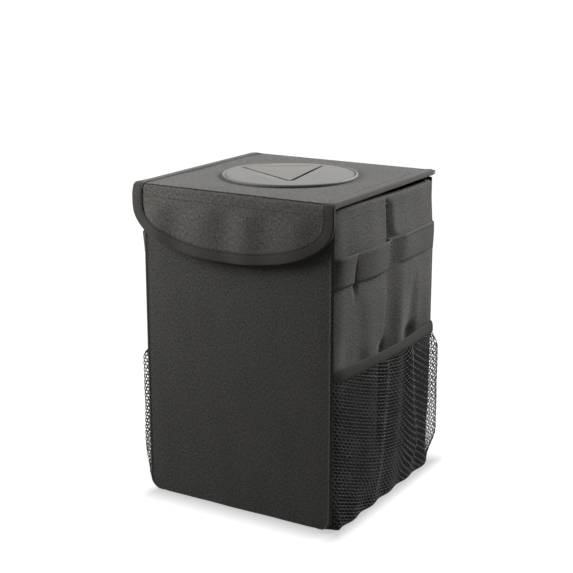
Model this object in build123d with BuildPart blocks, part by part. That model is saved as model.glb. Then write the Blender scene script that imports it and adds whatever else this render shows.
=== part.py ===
from build123d import *
import os
from math import cos, radians, sin, sqrt

# Car trash bin: a sewn box of cloth panels on boards, with net side pockets and a
# hinged lid. A round rubber plate in the lid has a V slit that frees a tongue.
# Millimetres. X runs across the front, Y from front to back, Z up from the floor.

# Bin box
BODY_WIDTH = 168.0
BODY_DEPTH = 165.0
BODY_HEIGHT = 245.5  # floor to the top of the rim hem
CORNER_RADIUS = 9.0  # lower corners of the front and back panels
BASE_RADIUS = 6.0  # where the base cloth turns up at the sides
BASE_LIP = 7.0  # straight part of that turned up edge

# Layers
CLOTH = 1.2  # coated outer cloth
BOARD = 2.0  # stiffener
LINER = 0.8  # waterproof lining
TAPE = 0.7  # binding tape
CLEARANCE = 0.3  # between pieces that move on each other

# Rim
RIM_HEM_HEIGHT = 9.0
RIM_INSET = 0.5  # the hem stands in from the side edges of the panels
RIM_ROUND = 1.2
RIM_SAG = 3.0  # how far the hem hangs through along the soft sides
RIM_SAG_END = 8.0  # from the panel to where the hem starts to hang

# Soft sides, seen from above: the cloth is tucked in at its seams and has one fold
SIDE_TUCK = 4.0
SIDE_SWELL = 0.5  # how far the cloth at a seam's shoulder stays inside the panel edge
SEAM_RUN = 7.0  # along the side, from the seam to the shoulder
FOLD_SHIFT = 4.0  # proud edge of the fold, behind the middle
FOLD_RUN = 3.0
FOLD_DEPTH = 4.4
FOLD_RISE = 30.0  # from the bottom of the fold to the rear swell
REAR_SWELL = 1.2  # how far the rear half stays inside the panel edge there
SIDE_BEND = 2.0  # rounding of each bend

# Flat band across each side
BAND_DROP = 36.5  # rim to the band's upper edge
BAND_HEIGHT = 22.0
BAND_THICKNESS = 1.2
BAND_LIFT = 0.5  # off the cloth where the band is sewn down
BAND_BOW = 2.2  # off the panel edge in the middle of the front loop
BAND_TUCK = 2.4
BAND_DIP = 2.4  # into the fold

# Net pockets
POCKET_SHARE = 0.51  # of the body's height
POCKET_HEM = 8.5
HEM_EXTRA = 0.6  # how far the hem stands past the net on both faces
NET_THICKNESS = 1.0
NET_TUCK = 2.2
NET_RUN = 6.0  # along the side, from the seam to the net's shoulder
NET_BULGE = 7.0  # off the panel edge at the shoulders and in the valley
NET_PLEAT = 2.5  # how far the two ridges stand out further
FRONT_RIDGE = -0.17  # places of the pleats, as shares of half the depth
VALLEY = 0.12
BACK_RIDGE = 0.54
NET_BEND = 3.0  # rounding of the shoulders; the pleats are creased
NET_LOW = 2.0  # floor to the net's lower edge
NET_FOOT = 15.0  # height at which the net has drawn out to its full bulge
NET_FOOT_SHARE = 0.4  # of the bulge that is left at the lower edge
GAP_ACROSS = 10.0  # a mesh of the net, across its flats
STRAND = 2.8  # net left between two meshes
GAP_COLUMNS = 13
GAP_ROWS = 7

# Lid
LID_WIDTH = 174.0
LID_LINING = 0.8
LID_BOARD = 2.2
LID_CLOTH = 1.0
LID_BINDING = 8.5  # width of the tape on the lid
LID_BACK_INSET = 1.5
HINGE_TAPE_HEIGHT = 16.0
HINGE_TAPE_INSET = 4.0

# Rubber plate and its tongue
PLATE_DIAMETER = 108.0
PLATE_THICKNESS = 2.2
PLATE_SEAT = 3.5  # ring that lies on the lid
PLATE_RIM_WIDTH = 3.2
PLATE_RIM_RISE = 1.0
PLATE_RIM_SLOPE = 0.8  # bevel on both edges of the rim
SLIT = 0.8
SLIT_TURN = 36.3  # degrees, the tongue points to the front right corner
SLIT_SHIFT = 3.0  # from the plate's centre to the tongue's middle line, which lies left of it
SLIT_TIP = 34.2  # along that line, from beside the centre to the tip
SLIT_ROOT = 32.0  # and back to the line that the tongue bends on
SLIT_HALF_WIDTH = 31.8  # of the tongue at its root
TIP_RADIUS = 2.5
ROOT_FULLNESS = 0.9  # share of half the thickness by which the root's edges are rounded

# Front flap with its touch fastener
FLAP_DROP = 52.0  # lid top to the lowest point
FLAP_STRAIGHT = 12.0  # straight part of its side edges
FLAP_THICKNESS = 2.0
FLAP_BINDING = 8.5
FLAP_FOLD = 1.0  # rounding where the flap turns down
PATCH_WIDTH = 60.0
PATCH_HEIGHT = 17.0
PATCH_THICKNESS = 1.5
PATCH_RISE = 3.0  # above the binding
PATCH_ROUND = 2.0

# Places that follow from the sizes above
half_width = BODY_WIDTH / 2
half_depth = BODY_DEPTH / 2
seam_y = half_depth - CLOTH
board_y = seam_y - BOARD
base_half = half_width - SIDE_TUCK + RIM_INSET
liner_half = half_width - max(SIDE_TUCK, FOLD_DEPTH) - CLOTH - CLEARANCE
panel_top = BODY_HEIGHT - RIM_HEM_HEIGHT
lid_half = LID_WIDTH / 2
lid_low = BODY_HEIGHT + CLEARANCE + TAPE
lid_top = lid_low + LID_LINING + LID_BOARD + LID_CLOTH
flap_back = half_depth + 2 * PATCH_THICKNESS + CLEARANCE
lid_front = -(flap_back - TAPE - CLEARANCE)
lid_back = half_depth - LID_BACK_INSET
plate_radius = PLATE_DIAMETER / 2
hole_radius = plate_radius - PLATE_SEAT
plate_y = (lid_front + lid_back) / 2
flap_shoulder = lid_top - FLAP_STRAIGHT
patch_z = lid_top - FLAP_DROP + FLAP_BINDING + PATCH_RISE + PATCH_HEIGHT / 2


def ribbon(path, inward, outward, bend):
    """Plan face of a strip of cloth: its path moved in and out along X, its bends rounded."""
    outer = [(x + outward, y) for x, y in path]
    inner = [(x - inward, y) for x, y in path]
    with BuildSketch() as face:
        with BuildLine():
            FilletPolyline(*outer, radius=bend)
            Line(outer[-1], inner[-1])
            FilletPolyline(*inner, radius=bend)
            Line(inner[0], outer[0])
        make_face()
    return face.sketch


def net_path(share):
    """Plan line of a net pocket's outer face, with this share of its full bulge."""
    valley = half_width + NET_BULGE * share
    ridge = half_width + (NET_BULGE + NET_PLEAT) * share
    return [
        (half_width - NET_TUCK, -seam_y),
        (valley, -seam_y + NET_RUN),
        (ridge, FRONT_RIDGE * half_depth),
        (valley, VALLEY * half_depth),
        (ridge, BACK_RIDGE * half_depth),
        (valley, seam_y - NET_RUN),
        (half_width - NET_TUCK, seam_y),
    ]


def flap_outline(inset):
    """Upright face of the flap, drawn smaller by the inset at its sides and its curved edge."""
    half = lid_half - inset
    with BuildSketch() as face:
        with BuildLine():
            Line((-half, flap_shoulder), (-half, lid_top))
            Line((-half, lid_top), (half, lid_top))
            Line((half, lid_top), (half, flap_shoulder))
            EllipticalCenterArc(
                (0, flap_shoulder), half, FLAP_DROP - FLAP_STRAIGHT - inset, 180, arc_size=180
            )
        make_face()
    return face.sketch


def tongue_outline(gap, back):
    """Plan face of the tongue, its tip rounded: larger by the gap, and as far back as given."""
    slope = SLIT_HALF_WIDTH / (SLIT_TIP + SLIT_ROOT)
    tip = SLIT_TIP + gap * sqrt(1 + slope**2) / slope
    half = (back + tip) * slope
    with BuildSketch() as face:
        with BuildLine():
            Polyline((-half, back), (0, -tip), (half, back), close=True)
        make_face()
        fillet(face.vertices().sort_by(Axis.Y)[0], TIP_RADIUS + gap)
    return face.sketch


# Front and back panels: flat cloth with the lower corners rounded
with BuildPart() as front_panel:
    with BuildSketch(Plane.XZ.offset(seam_y)) as panel_face:
        Rectangle(BODY_WIDTH, panel_top, align=(Align.CENTER, Align.MIN))
        fillet(panel_face.vertices().group_by(Axis.Y)[0], CORNER_RADIUS)
    extrude(amount=CLOTH)

with BuildPart() as back_panel:
    mirror(front_panel.part, about=Plane.XZ)

# Base cloth: turned up at both sides, with its board on top
with BuildPart() as base_panel:
    with BuildSketch(Plane.XZ.offset(-seam_y)) as base_face:
        Rectangle(2 * base_half, BASE_RADIUS + BASE_LIP, align=(Align.CENTER, Align.MIN))
        fillet(base_face.vertices().group_by(Axis.Y)[0], BASE_RADIUS)
    extrude(amount=2 * seam_y)
    ends = base_panel.faces().group_by(Axis.Y)
    offset(amount=-CLOTH, openings=[*ends[0], *ends[-1], *base_panel.faces().group_by(Axis.Z)[-1]])

with BuildPart() as base_board:
    with BuildSketch(Plane.XY.offset(CLOTH)):
        Rectangle(2 * (base_half - BASE_RADIUS), 2 * (board_y - CLEARANCE))
    extrude(amount=BOARD)

# Upright boards behind the front and back cloth
with BuildPart() as front_board:
    with BuildSketch(Plane.XZ.offset(board_y)):
        with Locations((0, CLOTH)):
            Rectangle(2 * (base_half - BASE_RADIUS), panel_top - CLOTH, align=(Align.CENTER, Align.MIN))
    extrude(amount=BOARD)

with BuildPart() as back_board:
    mirror(front_board.part, about=Plane.XZ)

# Lining bag, open at the top
with BuildPart() as inner_liner:
    with BuildSketch(Plane.XY.offset(CLOTH + BOARD)):
        Rectangle(2 * liner_half, 2 * board_y)
    extrude(amount=panel_top - CLOTH - BOARD)
    fillet(inner_liner.edges().filter_by(Axis.Y).group_by(Axis.Z)[0], BASE_RADIUS - CLOTH)
    offset(amount=-LINER, openings=inner_liner.faces().sort_by(Axis.Z)[-1])

# Hem round the mouth, hanging through a little along the soft sides
with BuildPart() as rim_hem:
    with BuildSketch(Plane.XY.offset(panel_top)):
        Rectangle(2 * (half_width - RIM_INSET), BODY_DEPTH)
        Rectangle(2 * (liner_half - LINER), 2 * (board_y - LINER), mode=Mode.SUBTRACT)
    extrude(amount=RIM_HEM_HEIGHT)
    fillet(rim_hem.faces().sort_by(Axis.Z)[-1].edges(), RIM_ROUND)
    sag_end = seam_y - RIM_SAG_END
    with BuildSketch(Plane.YZ.offset(-half_width)):
        with BuildLine():
            SagittaArc((-sag_end, BODY_HEIGHT), (sag_end, BODY_HEIGHT), -RIM_SAG)
            Line((sag_end, BODY_HEIGHT), (-sag_end, BODY_HEIGHT))
        make_face()
    extrude(amount=BODY_WIDTH, mode=Mode.SUBTRACT)

# Soft sides: cloth tucked in at the seams, with the centre fold that lets the bin fold flat
side_path = [
    (half_width - SIDE_TUCK, -seam_y),
    (half_width - SIDE_SWELL, -seam_y + SEAM_RUN),
    (half_width, FOLD_SHIFT),
    (half_width - FOLD_DEPTH, FOLD_SHIFT + FOLD_RUN),
    (half_width - REAR_SWELL, FOLD_SHIFT + FOLD_RUN + FOLD_RISE),
    (half_width - SIDE_SWELL, seam_y - SEAM_RUN),
    (half_width - SIDE_TUCK, seam_y),
]
side_face = ribbon(side_path, CLOTH, 0, SIDE_BEND)
with BuildPart() as right_side_panel:
    with BuildSketch(Plane.XY.offset(BASE_RADIUS + BASE_LIP)):
        add(side_face)
    extrude(amount=panel_top - BASE_RADIUS - BASE_LIP)

with BuildPart() as left_side_panel:
    mirror(right_side_panel.part, about=Plane.YZ)

# Flat band: sewn down at the seams and beside the fold, bowed out between
band_path = [
    (half_width - BAND_TUCK, -seam_y),
    (half_width + BAND_LIFT, -seam_y + SEAM_RUN),
    (half_width + BAND_BOW, (FOLD_SHIFT - seam_y) / 2),
    (half_width + BAND_LIFT, FOLD_SHIFT),
    (half_width - BAND_DIP, FOLD_SHIFT + FOLD_RUN),
    (half_width + BAND_LIFT, FOLD_SHIFT + FOLD_RUN + FOLD_RISE),
    (half_width + BAND_LIFT, seam_y - SEAM_RUN),
    (half_width - BAND_TUCK, seam_y),
]
band_face = ribbon(band_path, 0, BAND_THICKNESS, SIDE_BEND)
with BuildPart() as right_band:
    with BuildSketch(Plane.XY.offset(BODY_HEIGHT - BAND_DROP)):
        add(band_face)
    extrude(amount=-BAND_HEIGHT)

with BuildPart() as left_band:
    mirror(right_band.part, about=Plane.YZ)

# Net pocket: a pleated wall full of six-sided meshes, drawn in at the floor
net_top = POCKET_SHARE * BODY_HEIGHT - POCKET_HEM
net_bends = [NET_BEND, 0, 0, 0, NET_BEND]
net_face = ribbon(net_path(1), NET_THICKNESS, 0, net_bends)
foot_face = ribbon(net_path(NET_FOOT_SHARE), NET_THICKNESS, 0, net_bends)
with BuildPart() as right_net:
    with BuildSketch(Plane.XY.offset(NET_LOW)):
        add(foot_face)
    with BuildSketch(Plane.XY.offset(NET_FOOT)):
        add(net_face)
    loft(ruled=True)
    with BuildSketch(Plane.XY.offset(NET_FOOT)):
        add(net_face)
    extrude(amount=net_top - NET_FOOT)
    with BuildSketch(Plane.YZ.offset(half_width)):
        with Locations((0, (NET_FOOT + net_top) / 2)):
            with HexLocations((GAP_ACROSS + STRAND) / 2, GAP_COLUMNS, GAP_ROWS):
                RegularPolygon(GAP_ACROSS / 2, 6, major_radius=False)
    extrude(amount=2 * (NET_BULGE + NET_PLEAT), mode=Mode.SUBTRACT)

with BuildPart() as left_net:
    mirror(right_net.part, about=Plane.YZ)

# Hem tape on the top edge of the net
hem_face = ribbon(net_path(1), NET_THICKNESS + HEM_EXTRA, HEM_EXTRA, net_bends)
with BuildPart() as right_pocket_hem:
    with BuildSketch(Plane.XY.offset(net_top)):
        add(hem_face)
    extrude(amount=POCKET_HEM)

with BuildPart() as left_pocket_hem:
    mirror(right_pocket_hem.part, about=Plane.YZ)

# Cloth hinge along the back of the mouth
with BuildPart() as hinge_tape:
    with BuildSketch(Plane.XZ.offset(-half_depth)):
        with Locations((0, BODY_HEIGHT)):
            Rectangle(
                2 * (half_width - HINGE_TAPE_INSET), HINGE_TAPE_HEIGHT, align=(Align.CENTER, Align.MAX)
            )
    extrude(amount=-TAPE)


def lid_layer(low, thick):
    """One flat layer of the lid between its bindings, with the round hole."""
    with BuildPart() as layer:
        with BuildSketch(Plane.XY.offset(low)):
            with Locations((0, plate_y)):
                Rectangle(LID_WIDTH - 2 * TAPE, lid_back - lid_front)
                Circle(hole_radius, mode=Mode.SUBTRACT)
        extrude(amount=thick)
    return layer


# Lid: lining, board and top cloth, with binding folded over both side edges
lid_lining = lid_layer(lid_low, LID_LINING)
lid_board = lid_layer(lid_low + LID_LINING, LID_BOARD)
lid_cover = lid_layer(lid_top - LID_CLOTH, LID_CLOTH)

with BuildPart() as right_lid_binding:
    with BuildSketch(Plane.XZ.offset(-lid_back)):
        with Locations((lid_half, (lid_low + lid_top) / 2)):
            Rectangle(LID_BINDING, lid_top - lid_low + 2 * TAPE, align=(Align.MAX, Align.CENTER))
        with Locations((lid_half - TAPE, (lid_low + lid_top) / 2)):
            Rectangle(
                LID_BINDING, lid_top - lid_low, align=(Align.MAX, Align.CENTER), mode=Mode.SUBTRACT
            )
    extrude(amount=lid_back - lid_front)
    fillet(right_lid_binding.edges().filter_by(Axis.Y).group_by(Axis.X)[-1], TAPE)

with BuildPart() as left_lid_binding:
    mirror(right_lid_binding.part, about=Plane.YZ)

# Rubber plate: a disc with a raised rim, cut away for the tongue
slit_x, slit_y = cos(radians(SLIT_TURN)), sin(radians(SLIT_TURN))
plate_plane = Plane(origin=(0, plate_y, lid_top), x_dir=(slit_x, slit_y, 0), z_dir=(0, 0, 1))
tongue_plane = Plane(
    origin=(-SLIT_SHIFT * slit_x, plate_y - SLIT_SHIFT * slit_y, lid_top),
    x_dir=(slit_x, slit_y, 0),
    z_dir=(0, 0, 1),
)
root_round = PLATE_THICKNESS / 2
with BuildPart() as slit_plate:
    with BuildSketch(plate_plane):
        Circle(plate_radius)
    extrude(amount=PLATE_THICKNESS)
    with BuildSketch(plate_plane.offset(PLATE_THICKNESS)):
        Circle(plate_radius)
        Circle(plate_radius - PLATE_RIM_WIDTH, mode=Mode.SUBTRACT)
    extrude(amount=PLATE_RIM_RISE)
    chamfer(slit_plate.faces().sort_by(Axis.Z)[-1].edges(), PLATE_RIM_SLOPE)
    with BuildSketch(tongue_plane):
        add(tongue_outline(SLIT, SLIT_ROOT + root_round + CLEARANCE))
    extrude(amount=PLATE_THICKNESS, mode=Mode.SUBTRACT)

# Tongue: rounded at its root, so that it turns clear of the plate
with BuildPart() as slit_tongue:
    with BuildSketch(tongue_plane):
        add(tongue_outline(0, SLIT_ROOT + root_round))
    extrude(amount=PLATE_THICKNESS)
    root_axis = Axis(tongue_plane.origin, tongue_plane.x_dir)
    fillet(slit_tongue.edges().filter_by(root_axis), root_round * ROOT_FULLNESS)

# Front flap: hangs from the lid's front edge, its curved edge bound with tape
with BuildPart() as front_flap:
    with BuildSketch(Plane.XZ.offset(flap_back)):
        add(flap_outline(TAPE))
    extrude(amount=FLAP_THICKNESS)
    fillet(front_flap.edges().group_by(Axis.Z)[-1].filter_by(Axis.X).sort_by(Axis.Y)[0], FLAP_FOLD)

with BuildPart() as flap_binding:
    with BuildSketch(Plane.XZ.offset(flap_back - TAPE)):
        add(flap_outline(0))
        add(flap_outline(FLAP_BINDING), mode=Mode.SUBTRACT)
    extrude(amount=FLAP_THICKNESS + 2 * TAPE)
    with BuildSketch(Plane.XZ.offset(flap_back)):
        add(flap_outline(TAPE))
    extrude(amount=FLAP_THICKNESS, mode=Mode.SUBTRACT)

# Touch fastener: hooks inside the flap, loops on the front panel
with BuildPart() as hook_patch:
    with BuildSketch(Plane.XZ.offset(flap_back)):
        with Locations((0, patch_z)):
            RectangleRounded(PATCH_WIDTH, PATCH_HEIGHT, PATCH_ROUND)
    extrude(amount=-PATCH_THICKNESS)

with BuildPart() as loop_patch:
    with BuildSketch(Plane.XZ.offset(half_depth)):
        with Locations((0, patch_z)):
            RectangleRounded(PATCH_WIDTH, PATCH_HEIGHT, PATCH_ROUND)
    extrude(amount=PATCH_THICKNESS)

pieces = {
    "front_panel": front_panel,
    "back_panel": back_panel,
    "left_side_panel": left_side_panel,
    "right_side_panel": right_side_panel,
    "base_panel": base_panel,
    "front_board": front_board,
    "back_board": back_board,
    "base_board": base_board,
    "inner_liner": inner_liner,
    "rim_hem": rim_hem,
    "left_band": left_band,
    "right_band": right_band,
    "left_net": left_net,
    "right_net": right_net,
    "left_pocket_hem": left_pocket_hem,
    "right_pocket_hem": right_pocket_hem,
    "loop_patch": loop_patch,
    "hinge_tape": hinge_tape,
    "lid_cover": lid_cover,
    "lid_board": lid_board,
    "lid_lining": lid_lining,
    "left_lid_binding": left_lid_binding,
    "right_lid_binding": right_lid_binding,
    "slit_plate": slit_plate,
    "slit_tongue": slit_tongue,
    "front_flap": front_flap,
    "flap_binding": flap_binding,
    "hook_patch": hook_patch,
}
os.makedirs("parts", exist_ok=True)
for label, piece in pieces.items():
    piece.part.label = label
    export_step(piece.part, f"parts/{label}.step")
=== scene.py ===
import math
import bmesh
import bpy
import numpy as np
from mathutils import Matrix, Vector


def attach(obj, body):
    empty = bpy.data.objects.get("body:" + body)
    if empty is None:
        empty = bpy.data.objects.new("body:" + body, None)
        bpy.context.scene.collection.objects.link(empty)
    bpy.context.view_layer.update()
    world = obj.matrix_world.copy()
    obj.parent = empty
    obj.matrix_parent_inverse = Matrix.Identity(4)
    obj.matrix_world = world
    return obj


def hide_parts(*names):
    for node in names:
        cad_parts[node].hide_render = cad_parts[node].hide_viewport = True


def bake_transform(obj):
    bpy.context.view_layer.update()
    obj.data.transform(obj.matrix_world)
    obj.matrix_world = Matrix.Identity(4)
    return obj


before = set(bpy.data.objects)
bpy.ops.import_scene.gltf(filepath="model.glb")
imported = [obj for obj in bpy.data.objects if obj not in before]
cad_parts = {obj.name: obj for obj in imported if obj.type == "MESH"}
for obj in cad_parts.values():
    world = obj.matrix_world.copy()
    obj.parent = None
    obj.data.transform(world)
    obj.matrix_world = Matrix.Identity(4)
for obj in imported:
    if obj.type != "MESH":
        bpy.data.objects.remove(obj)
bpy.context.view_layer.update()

# Stiffener boards
# Extruded polypropylene sheets, cut to size, that hold the front, back, base and lid flat.
# Each is sealed in between the outer cloth and the lining.


def linear(code):
    """Linear RGBA of an sRGB hex colour."""
    parts = [int(code[i : i + 2], 16) / 255 for i in (1, 3, 5)]
    return tuple(c / 12.92 if c <= 0.04045 else ((c + 0.055) / 1.055) ** 2.4 for c in parts) + (1.0,)


def add(tree, kind, inputs={}, **settings):
    """Adds a node with these settings. Each input gets a value, or a link from a socket or from the first
    output of a node."""
    node = tree.nodes.new(kind)
    for key, value in settings.items():
        setattr(node, key, value)
    for key, value in inputs.items():
        if isinstance(value, bpy.types.Node):
            value = next(socket for socket in value.outputs if socket.enabled)
        if isinstance(value, bpy.types.NodeSocket):
            tree.links.new(value, node.inputs[key])
        else:
            node.inputs[key].default_value = value
    return node


def start_material(name, by_cut=False):
    """A new material, its empty tree, and what its patterns follow: places in the object, or the cloth's cut."""
    material = bpy.data.materials.new(name)
    material.use_nodes = True
    tree = material.node_tree
    tree.nodes.clear()
    if by_cut:
        return material, tree, add(tree, "ShaderNodeUVMap", uv_map="cut")
    return material, tree, add(tree, "ShaderNodeTexCoord").outputs["Object"]


def surface(tree, tone, dark, light, inputs, height=None, bump=(0.0, 0.0), shades=()):
    """Ends a material's tree with a Principled surface that has these inputs. The tone mixes its colour from dark
    to light, the shades multiply it, and the height gives a bump of this strength and distance in metres."""
    colour = add(tree, "ShaderNodeMix", {"Factor": tone, "A": linear(dark), "B": linear(light)}, data_type="RGBA")
    for shade in shades:
        values = {"Factor": 1.0, "A": colour, "B": shade}
        colour = add(tree, "ShaderNodeMix", values, data_type="RGBA", blend_type="MULTIPLY")
    if height is not None:
        relief = {"Height": height, "Strength": bump[0], "Distance": bump[1]}
        inputs = {"Normal": add(tree, "ShaderNodeBump", relief), **inputs}
    shader = add(tree, "ShaderNodeBsdfPrincipled", {"Base Color": colour, **inputs})
    add(tree, "ShaderNodeOutputMaterial", {"Surface": shader})


# Polypropylene, extruded: dull and faintly lined; the lines are drawn 12.6 mm apart, coarser than real ones
BOARD_LINE = 0.0125664
board_sheet, tree, place = start_material("polypropylene_extruded_sheet")
run = {"Vector": place, "Scale": 0.1 * math.pi / BOARD_LINE, "Distortion": 0.6}
lines = add(tree, "ShaderNodeTexWave", run, wave_type="BANDS", bands_direction="X").outputs["Fac"]
surface(tree, lines, "#8f8f8d", "#999997", {"Roughness": 0.55}, lines, (0.15, 0.0003))
for node in ("front_board", "back_board", "base_board", "lid_board"):
    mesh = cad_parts[node].data
    mesh.materials.clear()
    mesh.materials.append(board_sheet)

# Lining
# A bag of thin waterproof film, welded at its corners and sewn into the mouth under the rim hem.
# It hangs a little slack inside the boards, so its walls wave.


def ease(t):
    """Smooth step from 0 to 1."""
    t = np.clip(t, 0, 1)
    return t * t * (3 - 2 * t)


def between(a, b, share):
    """From a to b by this share."""
    return a + (b - a) * share


def drift(a, b, turn):
    """Slow uneven waves between about -1 and 1 for slack cloth; a and b in mm, turn picks the pattern."""
    first = np.sin(0.11 * a + 1.3 * turn) * np.cos(0.07 * b + 0.7 * turn)
    second = 0.6 * np.sin(0.23 * a - 2.1 * turn + 0.05 * b)
    third = 0.4 * np.cos(0.19 * b + 0.9 * turn + 0.08 * a)
    return (first + second + third) / 1.6


def rounded_loop(half_x, half_y, radius, side_steps, corner_steps):
    """Points in mm round a rectangle with rounded corners, anticlockwise seen from above."""
    arcs = []
    for sx, sy, first in ((1, -1, -90), (1, 1, 0), (-1, 1, 90), (-1, -1, 180)):
        turn = np.radians(first + np.linspace(0, 90, corner_steps + 1))
        centre = np.array([sx * (half_x - radius), sy * (half_y - radius)])
        arcs.append(centre + radius * np.stack([np.cos(turn), np.sin(turn)], 1))
    share = np.linspace(0, 1, side_steps + 1)[1:-1, None]
    points = []
    for arc, after in zip(arcs, arcs[1:] + arcs[:1]):
        points += [arc, between(arc[-1], after[0], share)]
    return np.concatenate(points)


def closed_mesh(name, points, faces, cuts, material):
    """Object at the origin from points in mm; cuts are the UV places in mm, corner by corner."""
    mesh = bpy.data.meshes.new(name)
    mesh.from_pydata((np.asarray(points) * 0.001).tolist(), [], faces)
    layer = mesh.uv_layers.new(name="cut")
    layer.data.foreach_set("uv", (np.asarray(cuts, float) * 0.001).ravel())
    shape = bmesh.new()
    shape.from_mesh(mesh)
    bmesh.ops.recalc_face_normals(shape, faces=shape.faces)
    shape.to_mesh(mesh)
    shape.free()
    mesh.polygons.foreach_set("use_smooth", [True] * len(mesh.polygons))
    mesh.set_sharp_from_angle(angle=math.radians(50))
    mesh.materials.append(material)
    thing = bpy.data.objects.new(name, mesh)
    bpy.context.scene.collection.objects.link(thing)
    return thing


def cloth_piece(name, face, thick, outward, axes, material, loop=False, capped=False, edge=0.5):
    """Closed piece of cloth from its outer face: rows by columns of points in mm, where loop makes each row a
    ring and capped closes the first one. Thick is the thickness, or one for each point. Outward is a direction,
    or one for each point, that tells the outer side. Axes name the two coordinates that the UV map takes. Edge
    is how far the edges are rounded out, in thicknesses."""
    rows, columns = face.shape[:2]
    thick = np.broadcast_to(thick, (rows, columns))[..., None]
    along = np.gradient(face, axis=0)
    across = np.roll(face, -1, 1) - np.roll(face, 1, 1) if loop else np.gradient(face, axis=1)
    normal = np.cross(along, across)
    normal /= np.linalg.norm(normal, axis=2, keepdims=True) + 1e-12
    if np.sum(normal * outward) < 0:
        normal = -normal
    back = face - normal * thick
    middle = (face + back) / 2
    size = rows * columns
    faces = []
    for r in range(rows - 1):
        for c in range(columns if loop else columns - 1):
            d = (c + 1) % columns
            quad = (r * columns + c, (r + 1) * columns + c, (r + 1) * columns + d, r * columns + d)
            faces += [quad, tuple(size + v for v in reversed(quad))]
    points = [face.reshape(-1, 3), back.reshape(-1, 3)]
    if loop:
        borders = [[(rows - 1, c, rows - 2, c) for c in range(columns)]]
        if not capped:
            borders.append([(0, c, 1, c) for c in range(columns)])
    else:
        border = [(0, c, 1, c) for c in range(columns - 1)]
        border += [(r, columns - 1, r, columns - 2) for r in range(rows - 1)]
        border += [(rows - 1, c, rows - 2, c) for c in range(columns - 1, 0, -1)]
        border += [(r, 0, r, 1) for r in range(rows - 1, 0, -1)]
        borders = [border]
    count = 2 * size
    for border in borders:
        rim = []
        for r, c, r2, c2 in border:
            step = middle[r, c] - middle[r2, c2]
            rim.append(middle[r, c] + step / (np.linalg.norm(step) + 1e-12) * thick[r, c] * edge)
        points.append(np.array(rim))
        ring = [r * columns + c for r, c, _, _ in border]
        for k in range(len(ring)):
            m = (k + 1) % len(ring)
            faces.append((ring[k], ring[m], count + m, count + k))
            faces.append((count + k, count + m, size + ring[m], size + ring[k]))
        count += len(ring)
    if capped:
        points.append(np.array([face[0].mean(0), back[0].mean(0)]))
        for c in range(columns):
            d = (c + 1) % columns
            faces += [(c, d, count), (size + d, size + c, count + 1)]
    points = np.concatenate(points)
    cuts = points[np.array([v for f in faces for v in f])][:, list(axes)]
    return closed_mesh(name, points, faces, cuts, material)


# Welded film: half gloss, with crinkles about 9 mm apart that catch the light, and cloudy over about 60 mm
film, tree, place = start_material("peva_film_welded")
crinkled = {"Vector": place, "Scale": 1 / 0.009, "Detail": 3.0, "Distortion": 1.2}
crinkle = add(tree, "ShaderNodeTexNoise", crinkled)
patch = add(tree, "ShaderNodeTexNoise", {"Vector": place, "Scale": 1 / 0.06, "Detail": 2.0})
surface(tree, patch, "#6d6e6f", "#838485", {"Roughness": 0.42}, crinkle, (0.5, 0.0008))

LINER_X, LINER_Y, LINER_ROUND, LINER_SLACK = 78.1, 79.3, 4.8, 1.1
LINER_LOW, LINER_WALL, LINER_TOP = 3.2, 14.0, 237.5
rings = []
for share in (0.03, 0.3, 0.6, 0.85, 0.94):
    rings.append((LINER_X * share, LINER_Y * share, LINER_ROUND * share, LINER_LOW))
for turn in np.radians(np.linspace(20, 90, 5)):
    inset = LINER_ROUND * (1 - math.sin(turn))
    rings.append((LINER_X - inset, LINER_Y - inset, LINER_ROUND, LINER_LOW + LINER_ROUND * (1 - math.cos(turn))))
rings += [(LINER_X, LINER_Y, LINER_ROUND, z) for z in np.linspace(LINER_WALL, LINER_TOP, 34)]
rows = []
for half_x, half_y, radius, z in rings:
    loop = rounded_loop(half_x, half_y, radius, 20, 5)
    slack = LINER_SLACK * ease((z - LINER_WALL) / 40) * ease((LINER_TOP - z) / 30)
    inward = 1 - slack * (0.5 + 0.5 * drift(loop[:, 0] + loop[:, 1], z, 4.0))[:, None] / 78
    rows.append(np.column_stack([loop * inward, np.full(len(loop), z)]))
face = np.array(rows)
outward = face - np.array([0, 0, 120.0])
lining = cloth_piece("lining_bag", face, 0.8, outward, (0, 2), film, loop=True, capped=True)
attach(lining, "bin")
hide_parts("inner_liner")

# Front and back panels
# Coated polyester cloth, cut flat with its lower corners rounded, over a board.
# It rolls over at the sides into the seams to the soft sides, and lies slightly uneven on the board.


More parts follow.
